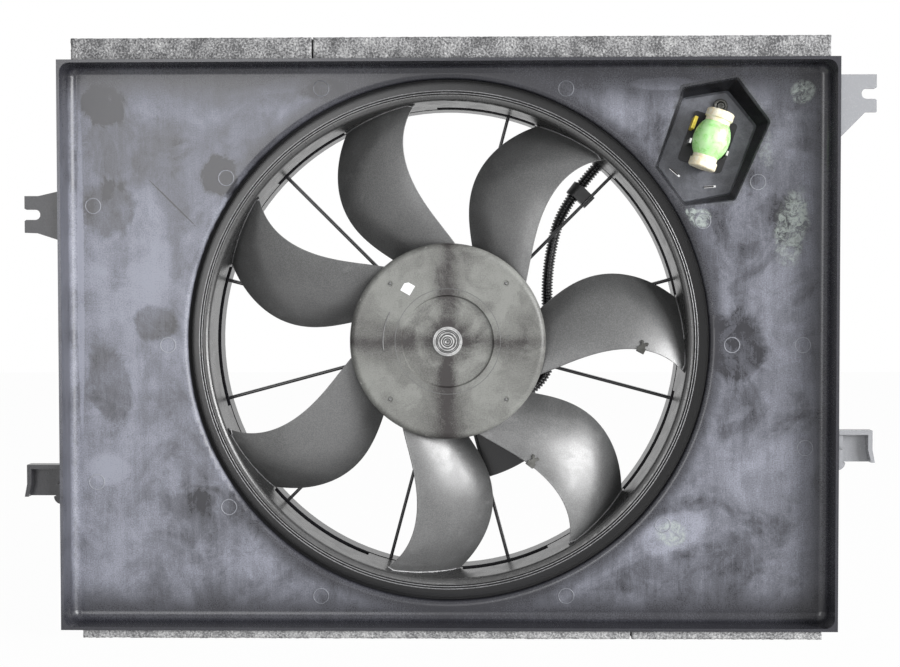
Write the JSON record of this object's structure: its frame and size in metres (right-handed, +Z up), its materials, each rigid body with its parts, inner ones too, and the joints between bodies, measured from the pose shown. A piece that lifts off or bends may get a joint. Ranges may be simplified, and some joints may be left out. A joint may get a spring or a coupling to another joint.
{
  "type": "radiator fan",
  "caption": "Rectangular plastic fan shroud with a banded axial fan on an electric motor behind its hub, drawing air through a vehicle's radiator.",
  "frame": {"origin": "on the fan's axis, in the plane of the shroud's open rim, which faces the radiator", "axes": "+X to the right and +Z up as seen from the radiator, +Y along the fan's axis away from the radiator, towards the motor"},
  "size_m": [0.7, 0.126, 0.4955],
  "materials": {
    "shroud_plastic": "grained black glass filled polypropylene with a dusty bloom",
    "fan_plastic": "satin black glass filled nylon",
    "zinc_steel": "zinc plated, satin",
    "shaft_steel": "ground and polished",
    "motor_steel": "zinc plated deep drawn sheet, satin",
    "core_steel": "bare lamination edges",
    "bronze": "sintered, oil soaked",
    "ferrite": "matt sintered ferrite",
    "copper": "enamelled copper",
    "card_plastic": "moulded phenolic",
    "carbon": "pressed copper graphite",
    "spring_steel": "drawn wire",
    "connector_plastic": "moulded black nylon, fine grain",
    "conduit_plastic": "corrugated black polyethylene",
    "clip_plastic": "black nylon",
    "ceramic_cream": "unglazed cream ceramic",
    "coil_green": "baked green coating over wire turns",
    "terminal_tin": "tin plated strip",
    "fuse_yellow": "yellow cast resin",
    "label_paper": "blank white film",
    "seal_foam": "open cell grey foam"
  },
  "bodies": {
    "shroud": {"shroud_tray": "shroud_plastic", "resistor_pocket": "shroud_plastic", "shroud_barrel": "shroud_plastic", "stator_struts": "shroud_plastic", "stator_ring": "shroud_plastic", "stator_web": "shroud_plastic", "bracket_upper_left": "shroud_plastic", "bracket_upper_right": "shroud_plastic", "hook_lower_left": "shroud_plastic", "hook_lower_right": "shroud_plastic", "motor_screws": "zinc_steel", "motor_can": "motor_steel", "motor_flange": "motor_steel", "motor_end_cap": "motor_steel", "front_bush": "bronze", "rear_bush": "bronze", "magnets": "ferrite", "brush_card": "card_plastic", "brushes": "carbon", "brush_springs": "spring_steel", "motor_socket": "connector_plastic", "motor_plug": "connector_plastic", "harness_conduit": "conduit_plastic", "conduit_clips": "clip_plastic", "resistor_base": "connector_plastic", "resistor_core": "ceramic_cream", "resistor_coil": "coil_green", "resistor_terminals": "terminal_tin", "thermal_fuse": "fuse_yellow", "resistor_screw": "zinc_steel", "resistor_plug": "connector_plastic", "supply_pins": "terminal_tin", "foam_top": "seal_foam", "foam_bottom": "seal_foam"},
    "fan": {"fan_hub": "fan_plastic", "fan_blades": "fan_plastic", "fan_band": "fan_plastic", "hub_insert": "zinc_steel", "fan_washer": "zinc_steel", "fan_nut": "zinc_steel", "shaft_spacer": "zinc_steel", "motor_shaft": "shaft_steel", "armature_core": "core_steel", "windings": "copper", "commutator": "copper", "balance_clips": "zinc_steel", "hub_label": "label_paper"}
  },
  "joints": [
    {"name": "fan_spin", "type": "hinge", "parent": "shroud", "child": "fan", "pos_m": [0, 0.06, 0], "axis": [0, 1, 0], "continuous": true}
  ]
}
